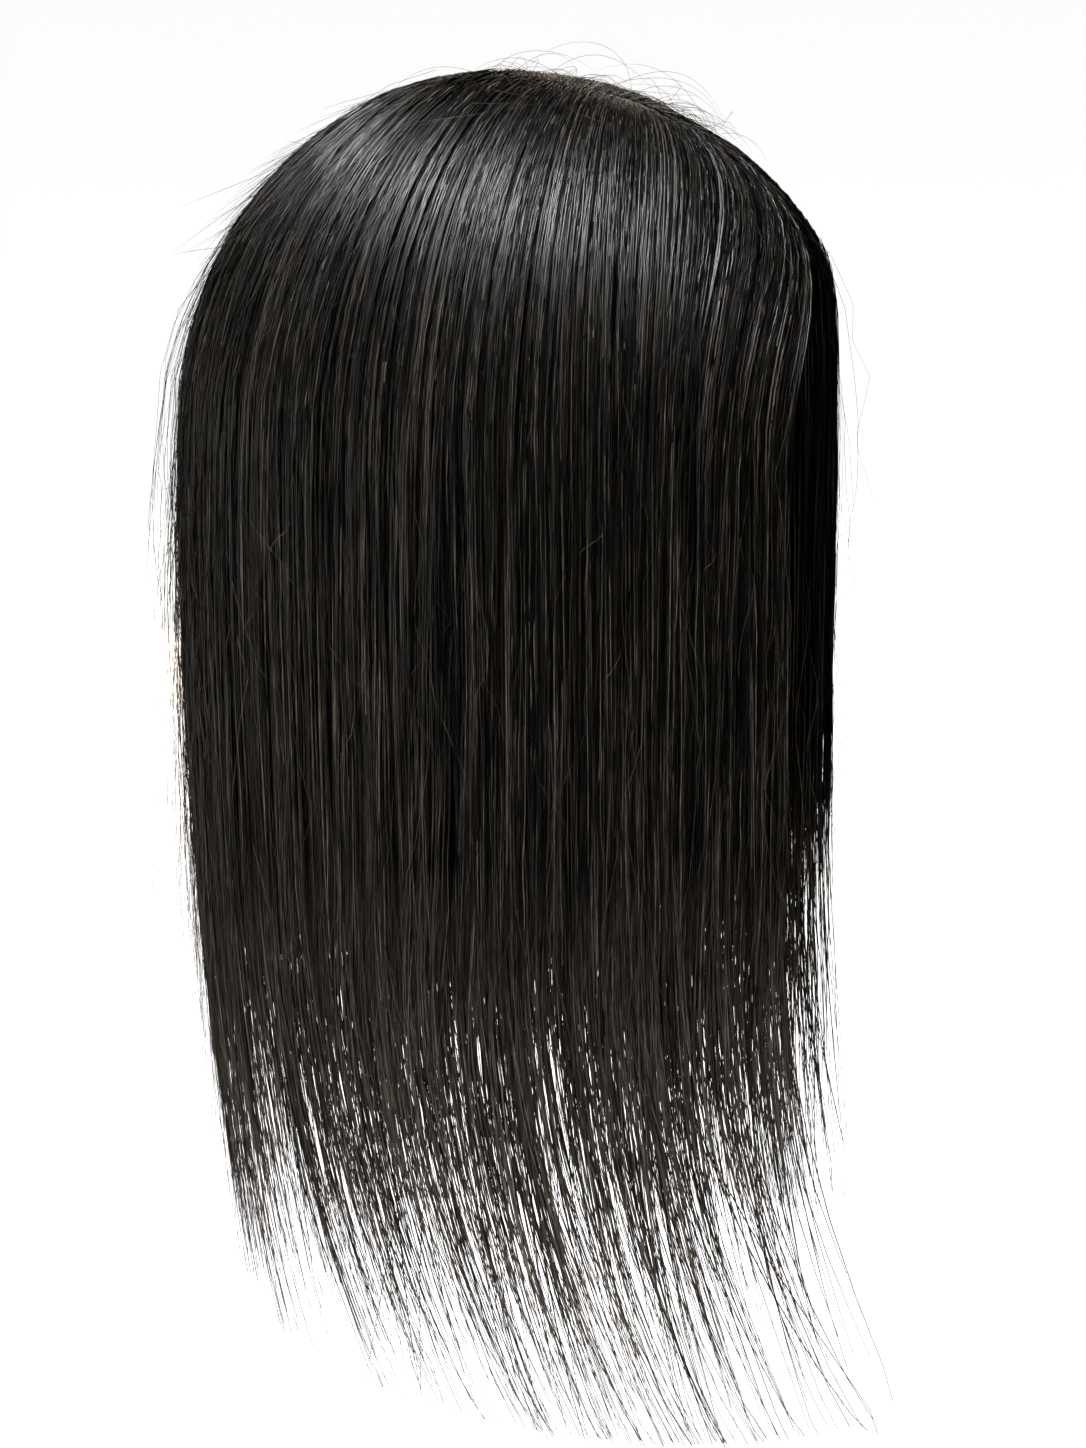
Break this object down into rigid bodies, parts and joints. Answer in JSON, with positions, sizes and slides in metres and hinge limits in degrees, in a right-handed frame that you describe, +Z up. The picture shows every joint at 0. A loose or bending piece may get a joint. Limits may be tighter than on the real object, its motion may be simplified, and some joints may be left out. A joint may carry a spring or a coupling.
{
  "type": "hair topper",
  "caption": "Straight dark hair topper with a centre parting: long hair on a domed oval base that snap clips hold on the crown of the head.",
  "frame": {"origin": "where the top of the wearer's head meets the inside of the base", "axes": "+Z is up along the wearer's head, -Y is the way the wearer faces, and -X is the wearer's right"},
  "size_m": [0.1759, 0.2188, 0.3729],
  "materials": {
    "hair": "glossy strands",
    "base": "fine matt net",
    "clips": "satin"
  },
  "bodies": {
    "root": {"base_cap": "base", "clip_front": "clips", "clip_back": "clips", "clip_right": "clips", "clip_left": "clips", "lock_right_face": "hair", "lock_right_temple": "hair", "lock_right_ear": "hair", "lock_right_side": "hair", "lock_right_back": "hair", "lock_right_nape": "hair", "lock_left_face": "hair", "lock_left_temple": "hair", "lock_left_ear": "hair", "lock_left_side": "hair", "lock_left_back": "hair", "lock_left_nape": "hair"}
  },
  "joints": []
}
